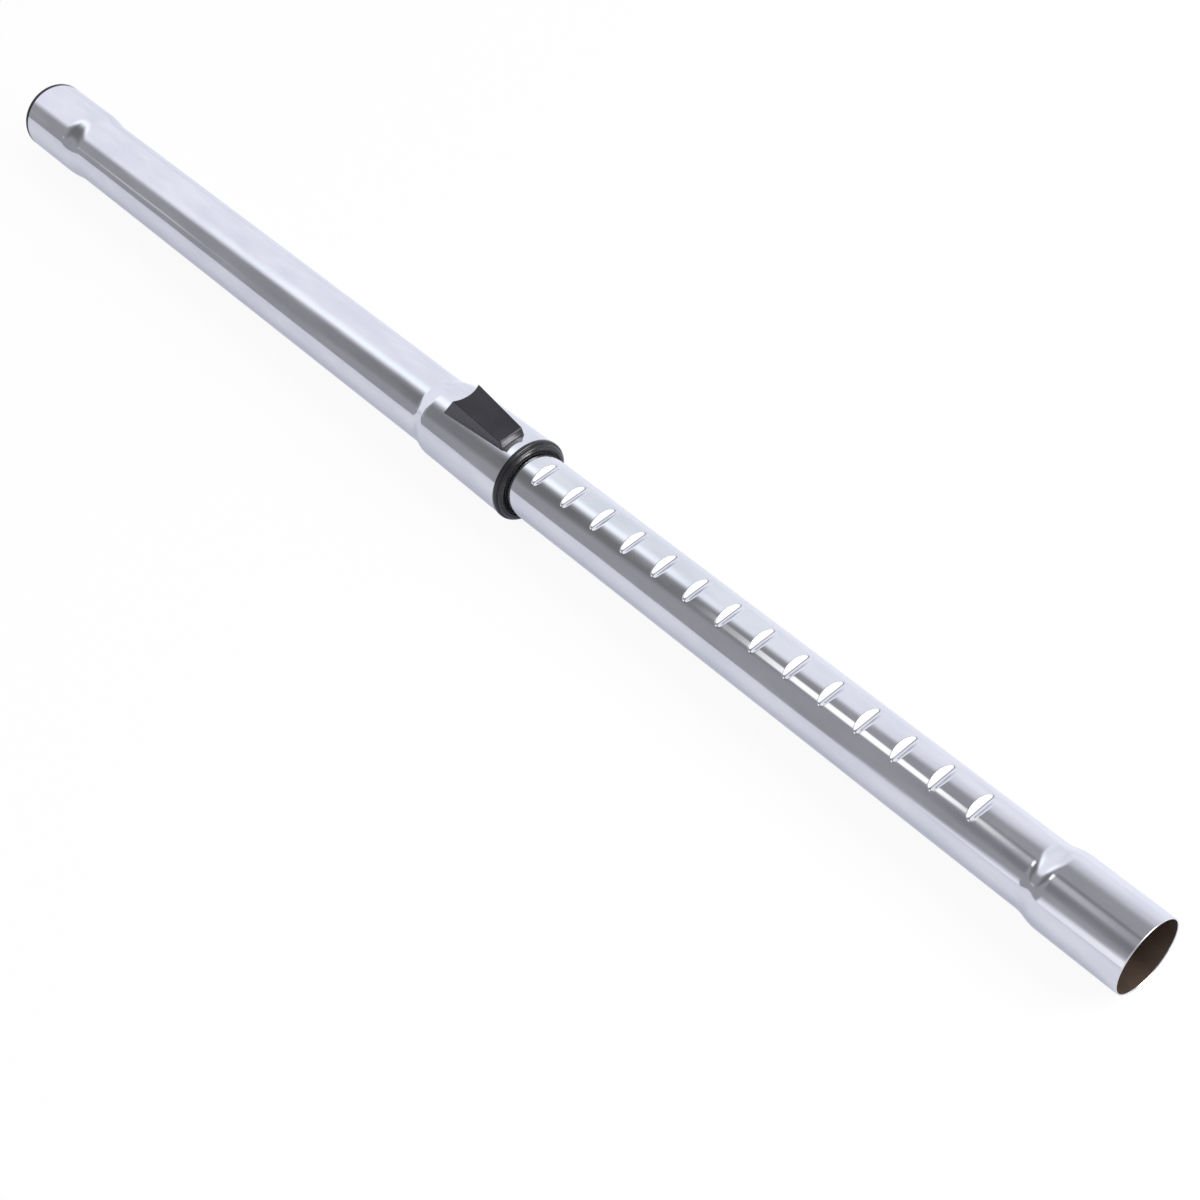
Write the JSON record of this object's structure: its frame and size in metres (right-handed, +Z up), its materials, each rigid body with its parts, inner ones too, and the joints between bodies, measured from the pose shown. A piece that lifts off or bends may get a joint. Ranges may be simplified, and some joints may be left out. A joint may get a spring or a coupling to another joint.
{
  "type": "vacuum extension tube",
  "caption": "Chrome steel telescopic vacuum wand with a swaged hose socket, notched inner tube, black end collar and sliding release button.",
  "frame": {"origin": "centre of the hose socket's mouth, on the wand's axis", "axes": "+X along the wand from the hose end to the tool end, +Z up through the release button"},
  "size_m": [0.77, 0.041, 0.0501],
  "materials": {
    "chrome_steel": "bright chrome plate on drawn steel tube",
    "black_gloss": "glossy moulded plastic",
    "charcoal_plastic": "fine moulded texture",
    "natural_acetal": "moulded",
    "black_acetal": "moulded",
    "black_rubber": "matt rubber",
    "spring_steel": "drawn spring steel"
  },
  "bodies": {
    "outer": {"outer_tube": "chrome_steel", "collar": "black_gloss", "wiper_ring": "black_rubber", "guide_sleeve": "natural_acetal", "latch_spring": "spring_steel", "return_spring_left": "spring_steel", "return_spring_right": "spring_steel"},
    "inner": {"inner_tube": "chrome_steel", "rear_bush": "black_acetal", "air_seal": "black_rubber"},
    "button": {"release_button": "charcoal_plastic", "button_carrier": "natural_acetal"}
  },
  "joints": [
    {"name": "extension", "type": "slide", "parent": "outer", "child": "inner", "axis": [1, 0, 0], "range_m": [-0.2779, 0], "deforming": ["latch_spring"]},
    {"name": "release_slide", "type": "slide", "parent": "outer", "child": "button", "axis": [1, 0, 0], "range_m": [0, 0.004], "stiffness_N_per_m": 900, "deforming": ["return_spring_left", "return_spring_right"]}
  ]
}
